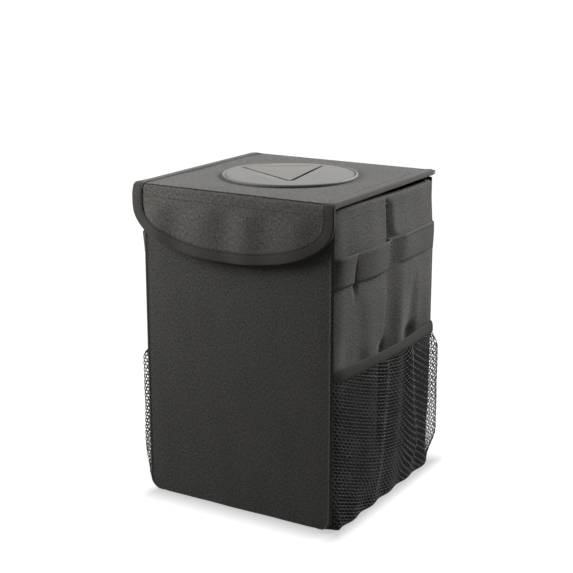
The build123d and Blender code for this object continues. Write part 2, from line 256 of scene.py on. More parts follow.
def woven_cloth(name, light, dark, thread, sheen, streak, painted_shade=None):
    """Plain woven polyester: threads that cross, uneven in thickness and tone, and a matt fibre sheen.
    Thread is the spacing in metres and streak how strongly single threads differ. Painted shade is the height
    in metres below which the cloth's colour is darkened as painted shade, and how light it is there."""
    material, tree, cut = start_material(name, by_cut=True)
    parts = add(tree, "ShaderNodeSeparateXYZ", {0: cut})
    short, long = 1 / thread, 1 / (2.2 * thread)
    waves, slubs = [], []
    for axis, scale in enumerate(((short, long, 1.0), (long, short, 1.0))):
        turns = add(tree, "ShaderNodeMath", {0: parts.outputs[axis], 1: math.pi / thread}, operation="MULTIPLY")
        waves.append(add(tree, "ShaderNodeMath", {0: turns}, operation="SINE"))
        run = add(tree, "ShaderNodeMapping", {"Vector": cut, "Scale": scale})
        uneven = {"Vector": run, "Scale": 1.0, "Detail": 3.0, "Roughness": 0.6}
        slubs.append(add(tree, "ShaderNodeTexNoise", uneven))
    crossing = add(tree, "ShaderNodeMath", {0: waves[0], 1: waves[1]}, operation="MULTIPLY")
    both = add(tree, "ShaderNodeMath", {0: slubs[0], 1: slubs[1]}, operation="ADD")
    spread = 0.35 / streak
    shown = add(tree, "ShaderNodeMapRange", {"Value": both, "From Min": 1 - spread, "From Max": 1 + spread})
    mixed = {0: crossing, 1: 0.22, 2: shown}
    tone = add(tree, "ShaderNodeMath", mixed, operation="MULTIPLY_ADD", use_clamp=True)
    wide = add(tree, "ShaderNodeTexNoise", {"Vector": cut, "Scale": 1 / 0.045, "Detail": 2.0})
    shades = [add(tree, "ShaderNodeMapRange", {"Value": wide, "To Min": 0.88, "To Max": 1.12})]
    # Painted shade: below the given height the colour is multiplied down, standing in for shade that falls there
    if painted_shade:
        limits = {"From Min": painted_shade[0] - 0.02, "From Max": painted_shade[0], "To Min": painted_shade[1]}
        shades.append(add(tree, "ShaderNodeMapRange", {"Value": parts.outputs[1], **limits}))
    height = add(tree, "ShaderNodeMath", {0: crossing, 1: 0.5, 2: both}, operation="MULTIPLY_ADD")
    matt = {"Roughness": 0.88, "Sheen Weight": sheen, "Sheen Roughness": 0.45, "Specular IOR Level": 0.25}
    surface(tree, tone, dark, light, matt, height, (0.5, 0.3 * thread), shades)
    return material


def hill(t):
    """Smooth hill: 1 at 0, and nearly 0 from 2 on."""
    return np.exp(-(t**2))


# Coated polyester: matt and faintly grained. Real threads are about 0.4 mm apart, drawn 0.8 mm so that they show
shell_cloth = woven_cloth("polyester_woven_coated", "#6d6c68", "#343330", 0.0008, 0.06, 1.8)

PANEL_HALF, PANEL_CORNER, PANEL_TOP = 84.0, 9.0, 244.0
PANEL_Y, CLOTH = 82.5, 1.2
UNEVEN, SEAM_RIDGE, ROLL, ROLL_RUN = 0.5, 0.8, 0.8, 14.0


def panel_half(z):
    """Half width in mm of a panel at this height: less at its round lower corners."""
    low = PANEL_CORNER - np.clip(z, 0, PANEL_CORNER)
    return PANEL_HALF - PANEL_CORNER + np.sqrt(PANEL_CORNER**2 - low**2)


z = np.concatenate([[0, 0.3, 0.9, 1.8, 3.2, 5, 7], np.linspace(9, PANEL_TOP, 36)])
border = np.array([0.96, 0.97, 0.976, 0.982, 0.988, 0.994, 1.0])
u, v = np.meshgrid(np.concatenate([-border[::-1], np.linspace(-0.94, 0.94, 41), border]), z)
x = u * (panel_half(v) - 0.6)
from_edge = (1 - np.abs(u)) * PANEL_HALF
swell = UNEVEN * (0.5 + 0.5 * drift(x, 0.6 * v, 1.0)) * (1 - np.abs(u) ** 6)
swell = swell + SEAM_RIDGE * hill((from_edge - 1.5) / 0.8)
swell = swell - ROLL * np.clip(1 - from_edge / ROLL_RUN, 0, 1) ** 2
for name, side in (("front", -1), ("back", 1)):
    face = np.stack([x, side * (PANEL_Y + swell), v], 2)
    panel = cloth_piece(f"{name}_panel_cloth", face, CLOTH, (0, side, 0), (0, 2), shell_cloth)
    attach(panel, "bin")
    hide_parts(f"{name}_panel")

# Base cloth
# The same coated cloth under the bin.
# It turns up at both sides, where the side cloth is sewn to it.

BASE_HALF, BASE_TURN, BASE_LIP_TOP, SEAM_Y = 80.5, 6.0, 13.5, 81.3
bend = np.radians(np.linspace(0, 90, 6))
flat_x = np.linspace(0, BASE_HALF - BASE_TURN - 2, 14)
profile_x = np.concatenate([flat_x, BASE_HALF - BASE_TURN * (1 - np.sin(bend)), [BASE_HALF, BASE_HALF]])
profile_z = np.concatenate([0 * flat_x, BASE_TURN * (1 - np.cos(bend)), [10, BASE_LIP_TOP]])
profile_x = np.concatenate([-profile_x[:0:-1], profile_x])
profile_z = np.concatenate([profile_z[:0:-1], profile_z])
y = np.linspace(-SEAM_Y, SEAM_Y, 24)[:, None]
face = np.stack(np.broadcast_arrays(profile_x, y, profile_z), 2)
base = cloth_piece("base_cloth", face, CLOTH, face - np.array([0, 0, 60.0]), (0, 1), shell_cloth)
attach(base, "bin")
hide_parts("base_panel")

# Soft sides
# Coated cloth with no board behind it, sewn in along the front, back, base and rim.
# A centre fold lets the bin fold flat: crisp above the band, and a soft valley below it.

# The same cloth, its threads drawn 0.9 mm apart, with painted shade below the pockets' hems, standing in for the
# net's shade
side_cloth = woven_cloth("polyester_woven_coated_side", "#6e6d69", "#363532", 0.0009, 0.06, 1.8, (0.121, 0.22))

SIDES = (("left", -1), ("right", 1))
FRONT_RUN, FRONT_TUCK, BACK_RUN, BACK_TUCK = 13.0, 2.4, 5.0, 1.4
SLACK, SIDE_LOW = 3.8, 0.4
FOLD_Y, FOLD_DEPTH = -5.0, 4.4
FRONT_VALLEY, RIDGE, REAR_VALLEY, MOUTH_HOLLOW = -50.0, 21.0, 42.0, -6.0
CREASE_Y, CREASE_Z, KNOT_Y, KNOT_Z = -53.0, 184.0, -4.0, 238.0
RIM_TOP, RIM_SAG, RIM_OVER = 245.5, 3.0, 0.9


def spaced(*runs):
    """Places along a line, run after run: first, last and number of each."""
    return np.concatenate([np.linspace(*run) for run in runs])


def turn_in(y, front, back):
    """How far in mm a side's cloth turns in to its seams: in a soft curve at the front, quickly at the back."""
    seam = SEAM_Y - np.abs(y)
    ahead = front * np.clip(1 - seam / FRONT_RUN, 0, 1) ** 2
    return np.where(np.asarray(y) < 0, ahead, back * (1 - ease(seam / BACK_RUN)))


def swell_x(y, z):
    """How far in mm the slack stands out past the panels' edges: least at the floor and by the front seam."""
    along = ease((y + 74) / 50) * ease((SEAM_Y - y) / 4.5)
    return SLACK * along * ease(z / 70) * (1 - 0.65 * ease((z - 190) / 50))


def foot_x(y):
    """How far out in mm the slack at the foot of the side lies on the floor, in waves."""
    return PANEL_HALF - 1.0 + (4.9 - 0.006 * y + 0.9 * np.sin(y / 4.9)) * ease((SEAM_Y - np.abs(y)) / 6)


def side_x(y, z):
    """How far out in mm the right side's cloth stands at this depth and height."""
    seam = SEAM_Y - np.abs(y)
    # Slack, with a belly, and turned in to the seams
    out = PANEL_HALF - turn_in(y, FRONT_TUCK * (1 - 0.4 * ease((z - 222) / 16)), BACK_TUCK)
    out = out + 0.9 * hill((z - 120) / 62) * ease(seam / 14) + swell_x(y, z)
    # The centre fold is crisp at the top, and wider and less deep below
    crisp = ease((z - 200) / 18)
    run = 1.6 + 5.4 * (1 - crisp)
    start = FOLD_Y - 3.5 * (1 - crisp)
    depth = FOLD_DEPTH * ease((240 - z) / 7) * (0.8 + 0.2 * crisp)
    out = out - depth * ease((y - start) / run) * (1 - ease((y - start - run + 1) / (28 - 13 * crisp)))
    # Upright valleys below the band, with hollows at the pocket's mouth
    soft = ease((188 - z) / 55)
    front_valley = hill((y - FRONT_VALLEY - 10 * soft) / (3 + 8 * soft))
    rear_valley = hill((y - REAR_VALLEY) / (4 + 5 * soft))
    out = out - soft * (0.6 * front_valley + 1.8 * rear_valley - hill((y - RIDGE) / 8))
    hollows = 1.2 * front_valley + 3.4 * hill((y - MOUTH_HOLLOW) / 7) + 3.0 * rear_valley
    out = out - ease((136 - z) / 12) * hollows
    # A crease below the band's stitch line, and a knot where the fold meets the hem
    out = out - 2.0 * hill((y - CREASE_Y) / 2.4) * hill((z - CREASE_Z) / 7)
    out = out - 1.2 * hill((y - KNOT_Y) / 2.4) * hill((z - KNOT_Z) / 3)
    # Drawn in behind the net, out again on the floor, and never in the way of the lining
    out = out - 2.6 * ease((172 - z) / 50) * ease(seam / 25)
    out = between(foot_x(y) - 0.4, out, ease((z - SIDE_LOW) / 26))
    out = np.maximum(out, PANEL_HALF - between(FRONT_TUCK, 4.4, ease(seam / 4)))
    return out + 0.22 * drift(y, z, 2.0) * ease(seam / 10)


def round_foot(side, y, z, reach):
    """The reach in mm, let out from the front's round lower corner: slowly on the left, fast on the right."""
    spread = 0.6 if side < 0 else 2.5
    return np.minimum(reach, panel_half(z) + spread * (y + SEAM_Y) + 0.5 * np.maximum(z - 6, 0))


def rim_hang(y):
    """How far in mm the mouth hangs below the lid along the sides: more towards the back."""
    return RIM_SAG * ease((y + 78) / 120)


y = spaced((-SEAM_Y, -73, 10), (-71, -10, 39), (-9.2, 1, 22), (2, 73, 45), (74, SEAM_Y, 10))
yy, share = np.meshgrid(y, spaced((0, 0.05, 7), (0.06, 1, 96)))
zz = between(SIDE_LOW, RIM_TOP - RIM_OVER - rim_hang(yy), share)
for name, side in SIDES:
    face = np.stack([side * round_foot(side, yy, zz, side_x(yy, zz)), yy, zz], 2)
    panel = cloth_piece(f"{name}_side_cloth", face, CLOTH, (side, 0, 0), (1, 2), side_cloth)
    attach(panel, "bin")
    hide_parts(f"{name}_side_panel")

# Rim hem
# The cloth of the mouth, folded inwards over the lining and stitched flat all the way round.
# It is stiff over the boards and hangs through a little along the soft sides.

RIM_X, RIM_Y, RIM_CORNER, RIM_LOW, RIM_CROWN = 82.7, 81.5, 5.0, 236.0, 1.3
HEM_STITCH, BACK_STITCH_Z = 8.5, 227.0


def lengths(points):
    """The length walked up to each of these points."""
    return np.concatenate([[0], np.cumsum(np.linalg.norm(np.diff(points, axis=0), axis=1))])


def swept(name, path, inward, up, section, material, closed=False):
    """Closed tape with this section, (inward, up) in mm at each point of the path, swept along it."""
    points = path[:, None] + inward[:, None] * section[..., :1] + up[:, None] * section[..., 1:]
    steps, sides = points.shape[:2]
    walked = lengths(np.concatenate([path, path[:1] if closed else path[:0]]))
    around = lengths(np.concatenate([section[0], section[0][:1]]))
    faces, cuts = [], []
    for i in range(steps if closed else steps - 1):
        j = (i + 1) % steps
        for k in range(sides):
            m = (k + 1) % sides
            faces.append((i * sides + k, j * sides + k, j * sides + m, i * sides + m))
            cuts += [(walked[i + a], around[k + b]) for a, b in ((0, 0), (1, 0), (1, 1), (0, 1))]
    if not closed:
        for first, end in ((0, walked[0]), ((steps - 1) * sides, walked[-1])):
            faces.append(tuple(range(first, first + sides)))
            cuts += [(end + 0.5, r) for r in around[:-1]]
    return closed_mesh(name, points.reshape(-1, 3), faces, cuts, material)


outer = rounded_loop(RIM_X, RIM_Y, RIM_CORNER, 40, 6)
step = np.roll(outer, -1, 0) - np.roll(outer, 1, 0)
inside = np.stack([-step[:, 1], step[:, 0], 0 * step[:, 0]], 1) / np.linalg.norm(step, axis=1)[:, None]
soft_side = ease((np.abs(outer[:, 0]) - 78) / 5)
outer[:, 0] += np.sign(outer[:, 0]) * soft_side * swell_x(outer[:, 1], RIM_LOW)
turn = np.linspace(0, math.pi, 9)
section = []
for wide, tall in zip(3.2 + 1.6 * soft_side, RIM_TOP - rim_hang(outer[:, 1]) - RIM_LOW):
    crown = np.stack([wide * (0.5 - 0.5 * np.cos(turn)), tall - RIM_CROWN * (1 - np.sin(turn) ** 0.7)], 1)
    outside = [[0.25, 0.0], [0.0, 0.5], [-0.12, tall * 0.45]]
    section.append(np.concatenate([outside, crown, [[wide, 0.5], [wide - 0.25, 0.0]]]))
path = np.column_stack([outer, np.full(len(outer), RIM_LOW)])
upright = np.array([[0.0, 0.0, 1.0]])
rim = swept("rim_hem_cloth", path, inside, upright, np.array(section), shell_cloth, closed=True)
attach(rim, "bin")
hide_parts("rim_hem")

# Spun polyester thread: dark and dull, uneven over about 2 mm, its twist too fine to show
thread, tree, place = start_material("polyester_thread_spun")
uneven = add(tree, "ShaderNodeTexNoise", {"Vector": place, "Scale": 1 / 0.002, "Detail": 1.0})
surface(tree, uneven, "#1d1c1b", "#32312e", {"Roughness": 0.75, "Specular IOR Level": 0.3})


def start_group(name, inputs, result):
    """Geometry node group with these named inputs and this result: its tree and its input sockets."""
    tree = bpy.data.node_groups.new(name, "GeometryNodeTree")
    for title, kind in inputs.items():
        tree.interface.new_socket(title, in_out="INPUT", socket_type="NodeSocket" + kind)
    tree.interface.new_socket(result, in_out="OUTPUT", socket_type="NodeSocketGeometry")
    return tree, add(tree, "NodeGroupInput").outputs


def end_group(tree, shape, finish):
    """Ends a group: the shape's instances are made real and get the finish."""
    real = add(tree, "GeometryNodeRealizeInstances", {"Geometry": shape})
    coloured = add(tree, "GeometryNodeSetMaterial", {"Geometry": real, "Material": finish})
    add(tree, "NodeGroupOutput", {0: coloured})


# The tree lays one flattened stitch at each pitch along a sewn line
sockets = {"Sewn line": "Geometry", "Pitch": "Float", "Stitch size": "Vector", "Finish": "Material"}
stitch_tree, given = start_group("row of stitches", sockets, "Stitches")
line = add(stitch_tree, "GeometryNodeMeshToCurve", {"Mesh": given["Sewn line"]})
paced = add(stitch_tree, "GeometryNodeResampleCurve", {"Curve": line, "Length": given["Pitch"]}, mode="LENGTH")
course = add(stitch_tree, "GeometryNodeInputTangent")
turned = add(stitch_tree, "FunctionNodeAlignRotationToVector", {"Vector": course}, axis="X")
one = add(stitch_tree, "GeometryNodeMeshUVSphere", {"Segments": 6, "Rings": 4, "Radius": 1.0})
laid = add(
    stitch_tree,
    "GeometryNodeInstanceOnPoints",
    {"Points": paced, "Instance": one, "Rotation": turned, "Scale": given["Stitch size"]},
)
end_group(stitch_tree, laid, given["Finish"])


def grown(name, points, edges, faces, tree, values):
    """Plain mesh object that this tree grows from a mesh in mm; values are the tree's inputs by name."""
    mesh = bpy.data.meshes.new(name)
    mesh.from_pydata((np.asarray(points) * 0.001).tolist(), edges, faces)
    thing = bpy.data.objects.new(name, mesh)
    bpy.context.scene.collection.objects.link(thing)
    nodes = thing.modifiers.new("nodes", "NODES")
    nodes.node_group = tree
    for title, value in values.items():
        nodes[tree.interface.items_tree[title].identifier] = value
    graph = bpy.context.evaluated_depsgraph_get()
    plain = bpy.data.meshes.new_from_object(thing.evaluated_get(graph))
    thing.modifiers.remove(nodes)
    thing.data = plain
    plain.name = name
    plain.polygons.foreach_set("use_smooth", [True] * len(plain.polygons))
    return thing


def sewn(name, lines, pitch=3.4, size=(1.25, 0.28, 0.28)):
    """Rows of stitches along these lines of points in mm."""
    points, edges = [], []
    for row in lines:
        first = len(points)
        points += [tuple(map(float, point)) for point in row]
        edges += [(first + k, first + k + 1) for k in range(len(row) - 1)]
    values = {"Pitch": pitch * 0.001, "Stitch size": tuple(v * 0.001 for v in size), "Finish": thread}
    return grown(name, points, edges, [], stitch_tree, values)


y = np.linspace(-72, 72, 90)
z = RIM_TOP - RIM_OVER - rim_hang(y) - HEM_STITCH
rows = [np.stack([side * (side_x(y, z) - 0.12), y, z], 1) for _, side in SIDES]
x = np.linspace(-79, 79, 60)
rows.append(np.stack([x, 0 * x + PANEL_Y + 0.55, 0 * x + BACK_STITCH_Z], 1))
rim_stitches = sewn("rim_stitches", rows)
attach(rim_stitches, "bin")

# Side bands
# A flat band of the same cloth across each side, sewn down at the seams, by its stitch line and at the fold.
# Straps pass behind its free runs. The front run ends in a crisp folded edge over the rear run.

BAND_LOW, BAND_HIGH, BAND_THICK = 187.0, 209.0, 1.2
BAND_FOLD, BAND_STITCH = -1.0, -53.0
BAND_BOW = {"left": 6.4, "right": 0.9}
# Woven band: like the shell but flatter in tone, its threads drawn 1 mm apart
band_cloth = woven_cloth("polyester_woven_band", "#666561", "#393835", 0.001, 0.06, 1.6)


def arch(t):
    """Arch from 0 up to 1 and back to 0, for t from 0 to 1."""
    return np.sin(np.clip(t, 0, 1) * math.pi)


def band_x(y, z, bow):
    """How far out in mm a band's outer face stands, with this bow by the front seam."""
    seam = SEAM_Y - np.abs(y)
    share = (z - BAND_LOW) / (BAND_HIGH - BAND_LOW)
    out = PANEL_HALF + 1.75 - 0.6 * ease((y - 20) / 30) - turn_in(y, 3.0, 1.2) + swell_x(y, z)
    # Both free runs bow out, and the front one drops off at its folded edge
    out = out + 0.9 * arch((y + 52) / 51) + bow * arch((y + SEAM_Y) / 30)
    out = out - 4.0 * ease(y - BAND_FOLD + 0.5) * (1 - ease((y - BAND_FOLD - 1) / 27))
    # The stitch line pulls the lower edge in, and the upper edge stands off
    pull = 1.1 * hill((y - BAND_STITCH) / 0.8) + 0.5 * hill((y - BAND_STITCH) / 4)
    out = out - pull * ease((1 - share) * 1.6)
    out = out + 1.3 * share**2 * ease(seam / BACK_RUN) * (1 - 0.7 * ease((y - 20) / 40)) - 0.9 * (1 - share) ** 2
    return out + 0.12 * drift(y, z, 5.0)


y = spaced(
    (-SEAM_Y, -73, 9), (-71, -56, 9), (-55, -51, 15), (-49, -4, 25), (-2.8, 1, 17), (3, 73, 36), (74, SEAM_Y, 9)
)
yy, share = np.meshgrid(y, np.linspace(0, 1, 13))
zz = between(BAND_LOW, BAND_HIGH, share) + 0.25 * drift(yy, 0 * yy, 7.0)
rows = []
for name, side in SIDES:
    bow = BAND_BOW[name]
    face = np.stack([side * band_x(yy, zz, bow), yy, zz], 2)
    band = cloth_piece(f"{name}_band_cloth", face, BAND_THICK, (side, 0, 0), (1, 2), band_cloth)
    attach(band, "bin")
    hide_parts(f"{name}_band")
    upright_z = np.linspace(BAND_LOW, BAND_HIGH, 14) - 1.5
    fold_z = np.linspace(BAND_LOW + 1, BAND_HIGH - 1, 14)
    level_y = np.linspace(4, 72, 44)
    for y, z, lift in (
        (0 * upright_z + BAND_STITCH, upright_z, 0.5),
        (0 * fold_z + BAND_FOLD - 2.2, fold_z, 0.1),
        (level_y, 0 * level_y + BAND_LOW + 1.8, 0.1),
        (level_y, 0 * level_y + BAND_HIGH - 1.8, 0.1),
    ):
        rows.append(np.stack([side * (band_x(y, z, bow) + lift), y, z], 1))
band_stitches = sewn("band_stitches", rows, pitch=3.0, size=(1.1, 0.26, 0.26))
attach(band_stitches, "bin")

# Net pockets
# Knitted polyester net with six-sided holes, gathered into the seams so that it stands in soft pleats.
# It is sewn in at both sides and the base, and drawn in there; a hem tape closes its top edge.

NET_LOW, NET_TOP, NET_UNDER = 1.2, 119.5, 8.0
NET_WIDE, NET_TALL = 4.8, 2.7
NET_THREAD, NET_SAG = 0.45, 26.0
NET_RISE, NET_FULL = 10.2, {"left": 10.4, "right": 0.6}


def hem_x(y):
    """How far out in mm the middle of the right pocket's hem stands."""
    seam = SEAM_Y - np.abs(y)
    ahead = 5.2 * ease(seam / 70)
    behind = 4.6 * ease(seam / 7) + 0.6 * ease(seam / 70)
    bulge = np.where(np.asarray(y) < 0, ahead, behind)
    return PANEL_HALF + 1.5 - turn_in(y, 2.8, 2.0) + bulge + 0.3 * np.sin(y / 13.0)


def net_x(y, z, full):
    """How far out in mm a net stands at this depth and height. It rises to each of two knife pleats and
    drops behind them; full is how far it already bulges right behind the front seam."""
    down = (NET_TOP - z) / (NET_TOP - NET_LOW)
    front, rear = -10.0 - 12.0 * down, 31.0 + 14.0 * down
    rise = (NET_RISE - full) * ease((y + SEAM_Y) / (front + SEAM_Y)) + full * ease((y + SEAM_Y) / 8)
    first = ease((y - front) / 4.5) - ease((y - front - 6) / (rear - front - 6))
    second = ease((y - rear) / 4.5) - 1.4 * ease((y - rear - 6) / (70 - rear))
    bulge = 0.4 - turn_in(y, 2.0, 0.0) + rise - 4.8 * first - 4.2 * second + 0.5 * drift(1.4 * y, z, 6.0)
    out = PANEL_HALF + between(-1.0, bulge, ease((SEAM_Y - y) / 6))
    out = between(hem_x(y), out, ease((NET_TOP - z) / 13))
    return between(foot_x(y) + 0.3, out, ease((z - NET_LOW - 3) / 31))


# Net yarn: black, thin and half matt, a little uneven over about 3 mm
net_yarn, tree, place = start_material("polyester_net_knitted")
uneven = add(tree, "ShaderNodeTexNoise", {"Vector": place, "Scale": 1 / 0.003, "Detail": 2.0})
half_matt = {"Roughness": 0.5, "Specular IOR Level": 0.4}
surface(tree, uneven, "#171615", "#2b2928", half_matt, uneven, (0.4, 0.0003))

# The tree turns a sheet of triangles into its six-sided cells, and each cell wall into a yarn
sockets = {"Sheet": "Geometry", "Yarn radius": "Float", "Finish": "Material"}
net_tree, given = start_group("net of yarn", sockets, "Net")
cells = add(net_tree, "GeometryNodeDualMesh", {"Mesh": given["Sheet"]})
walls = add(net_tree, "GeometryNodeMeshToCurve", {"Mesh": cells})
round_yarn = add(net_tree, "GeometryNodeCurvePrimitiveCircle", {"Resolution": 3, "Radius": given["Yarn radius"]})
yarn = add(net_tree, "GeometryNodeCurveToMesh", {"Curve": walls, "Profile Curve": round_yarn})
end_group(net_tree, yarn, given["Finish"])

# The meshes are even along the pleated sheet. Their rows hang through between the seams, and the sheet is
# trimmed at the hem and under the bin
high = int((NET_TOP - NET_LOW + NET_UNDER + NET_SAG) / NET_TALL) + 2
for name, side in SIDES:
    full = NET_FULL[name]
    walk = np.linspace(-SEAM_Y, SEAM_Y, 800)
    run = lengths(np.stack([walk, net_x(walk, 60.0, full)], 1))
    long = int(run[-1] / NET_WIDE) + 2
    net_y, hung = [], []
    for r in range(high):
        share = np.clip((np.arange(long) + 0.5 * (r % 2) - 0.25) / (long - 1.5), 0, 1)
        y = np.interp(share * run[-1], run, walk)
        sag = np.sin(np.clip((y + SEAM_Y) / 108, 0, 1) * math.pi / 2) * ease((SEAM_Y - y) / 66)
        net_y.append(y)
        hung.append(r * NET_TALL - NET_UNDER - NET_SAG * sag)
    net_y, hung = np.concatenate(net_y), np.concatenate(hung)
    triangles = []
    for r in range(high - 1):
        for c in range(long - 1):
            a = r * long + c
            b, d, e = a + 1, a + long, a + long + 1
            for corner in ((a, b, d), (b, e, d)) if r % 2 == 0 else ((a, b, e), (a, e, d)):
                heights = hung[list(corner)]
                if heights.max() > -NET_UNDER and heights.min() < NET_TOP - NET_LOW:
                    triangles.append(corner)
    used, triangles = np.unique(triangles, return_inverse=True)
    net_y, hung = net_y[used], np.clip(hung[used], -NET_UNDER, NET_TOP - NET_LOW)
    under = np.clip(-hung / NET_UNDER, 0, 1)
    net_z = NET_LOW + np.maximum(hung, 0)
    reach = round_foot(side, net_y, net_z, net_x(net_y, net_z, full)) - (NET_UNDER - 1.0) * under
    net = grown(
        f"{name}_net_yarn",
        np.column_stack([side * reach, net_y, net_z - 0.5 * ease(under * 3)]),
        [],
        triangles.reshape(-1, 3).tolist(),
        net_tree,
        {"Yarn radius": NET_THREAD * 0.001, "Finish": net_yarn},
    )
    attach(net, "bin")
    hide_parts(f"{name}_net")

# Pocket hems
# A smooth folded tape sewn over the top edge of each net. Its ends run into the corner seams,
# and between them it stands off the side cloth, so the pocket's mouth shows as a dark gap.

HEM_LOW, HEM_HIGH, HEM_THICK = 116.8, 125.6, 1.6
# Folded tape: smooth and dark, with little streak, its threads drawn 1.2 mm apart
hem_tape = woven_cloth("polyester_tape_folded", "#383734", "#2b2a28", 0.0012, 0.05, 0.7)
y = spaced((-SEAM_Y, -70, 14), (-67, 67, 60), (70, SEAM_Y, 14))
yy, share = np.meshgrid(y, np.linspace(0, 1, 9))
dip = np.cos(np.clip(yy / 78, -1, 1) * math.pi / 2) ** 2
zz = between(HEM_LOW, HEM_HIGH, share) - 1.6 * dip * share + 0.3 * drift(yy, 0 * yy, 8.0)
y = np.linspace(-76, 76, 90)
rows = []
for name, side in SIDES:
    face = np.stack([side * (hem_x(yy) + HEM_THICK / 2 + 0.5 * arch(share) - 0.4 * share), yy, zz], 2)
    hem = cloth_piece(f"{name}_pocket_hem_tape", face, HEM_THICK, (side, 0, 0), (1, 2), hem_tape)
    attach(hem, "bin")
    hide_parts(f"{name}_pocket_hem")
    rows.append(np.stack([side * (hem_x(y) + HEM_THICK / 2 + 0.35), y, 0 * y + HEM_LOW + 1.6], 1))
hem_stitches = sewn("pocket_hem_stitches", rows, pitch=3.0, size=(1.1, 0.26, 0.26))
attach(hem_stitches, "bin")

# Hinge cloth
# The lid is sewn to the back of the mouth by a strip of cloth that bends as the lid opens; it is built here with
# the lid shut.
# It is stitched to the back panel and runs up round the back edge of the lid.

HINGE_HALF, HINGE_LOW, HINGE_THICK = 80.0, 229.5, 0.7
line_y = np.array([83.2] * 8 + [83.25, 83.1, 82.8, 82.3, 81.6, 80.7])[:, None]
line_z = np.concatenate([np.linspace(HINGE_LOW, 244.5, 8), [245.6, 246.7, 247.8, 248.9, 249.8, 250.4]])[:, None]
x = np.linspace(-HINGE_HALF, HINGE_HALF, 41)[None]
face = np.stack(np.broadcast_arrays(x, line_y + 0.15 * drift(x, line_z, 9.0), line_z), 2)
hinge = cloth_piece("hinge_cloth", face, HINGE_THICK, (0, 1, 0.3), (0, 2), shell_cloth)
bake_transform(hinge)
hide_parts("hinge_tape")

# Lid lining
# The same welded film under the lid's board, cut out round the plate's hole.
# Its edge is sewn down 8 mm in from the lid's outline, under the binding.

LID_HALF, LID_FRONT, LID_BACK = 86.3, -84.8, 81.0
LID_TOP, LID_UNDER, LINING_INSET = 250.5, 246.6, 8.0
PLATE_Y, HOLE = -1.9, 50.8


def holed_sheet(inset, shares):
    """Rows of places in mm from the plate's hole out to the lid's outline, less this inset."""
    outline = rounded_loop(LID_HALF - inset, (LID_BACK - LID_FRONT) / 2 - inset, 1.2, 36, 3)
    outline = outline + np.array([0, (LID_BACK + LID_FRONT) / 2])
    turn = np.arctan2(outline[:, 1] - PLATE_Y, outline[:, 0])
    circle = np.stack([HOLE * np.cos(turn), PLATE_Y + HOLE * np.sin(turn)], 1)
    return between(circle, outline, shares[:, None, None])


flat = holed_sheet(LINING_INSET, np.linspace(0, 1, 12))
height = LID_UNDER + 0.25 * (1 + drift(flat[..., 0], flat[..., 1], 3.0))
face = np.concatenate([flat, height[..., None]], 2)
lid_film = cloth_piece("lid_lining_film", face, 0.3, (0, 0, -1), (0, 1), film, loop=True)
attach(lid_film, "lid")
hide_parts("lid_lining")

# Lid top cloth
# Coated cloth over the lid's board, cut out round the plate's hole and held down by the plate's seat.
# It is a little slack between the plate and the bound edges.

# The same cloth in a copy for the lid's top with a painted tone: darker in colour and with more sheen than the
# shell, tuned to how the light falls on the top at a slant; its threads drawn 1.4 mm apart so that they show
lid_cloth = woven_cloth("polyester_woven_coated_lid", "#5e5d59", "#292825", 0.0014, 0.2, 2.3)
shares = np.concatenate([np.linspace(0, 0.94, 16), [0.965, 0.985, 1.0]])
flat = holed_sheet(0.0, shares)
slack = arch((shares[:, None] - 0.1) / 0.85)
height = LID_TOP + 0.25 * slack * (1 + drift(flat[..., 0], flat[..., 1], 10.0))
face = np.concatenate([flat, height[..., None]], 2)
cover = cloth_piece("lid_top_cloth", face, 1.0, (0, 0, 1), (0, 1), lid_cloth, loop=True)
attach(cover, "lid")
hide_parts("lid_cover")

# Front flap
# Coated cloth in two layers that turns down from the lid's front edge, with a half-round lower edge.
# It hangs free below its topstitched fold in soft upright waves, and stands off the front, most at its left end.

FLAP_FRONT, FLAP_THICK, FLAP_HEM = -87.8, 2.0, 1.2
FLAP_FOLD_Z, FLAP_RISE, FLAP_SHOULDER, FLAP_TALL = 246.5, 3.1, 237.0, 48.0
FLAP_HALF, FLAP_ROUND, FLAP_POWER = 86.3, 37.8, 2.15
# The same cloth with painted light: its colour is paler than the shell's for the flap's brighter look, its
# threads drawn 1 mm apart
flap_cloth = woven_cloth("polyester_woven_coated_flap", "#807e7a", "#4d4a47", 0.001, 0.08, 1.7)


def flap_low(x):
    """Height in mm of the flap's lower edge at this place across."""
    share = np.clip(np.abs(x) / FLAP_HALF, 0, 1)
    return FLAP_SHOULDER - FLAP_ROUND * (1 - share**FLAP_POWER) ** (1 / FLAP_POWER)


def flap_y(x, z):
    """Where the flap's front face is in mm, with its waves and its stand-off."""
    drop = np.clip((FLAP_FOLD_Z - z) / FLAP_TALL, 0, 1.1)
    wave = 0.88 * np.sin(x / 6.2 - 0.7) + 0.18 * np.sin(x / 4.1 + 5.1 - 0.5 * drop)
    wave = wave * ease(drop * 4.5 - 0.4) * (1 - 0.4 * ease(drop * 2 - 1))
    # It leans out to the left, and both ends are drawn back a little
    across = x / FLAP_HALF
    lean = 3.2 - 3.0 * across + 1.3 * across**2 - 0.9 * ease((across - 0.82) / 0.18)
    lean = lean - 1.6 * np.clip((across - 0.7) / 0.3, 0, 1) ** 2 - 0.8 * np.clip((-across - 0.3) / 0.7, 0, 1)
    return FLAP_FRONT - lean * (1 - (1 - np.minimum(drop, 1)) ** 3) - wave


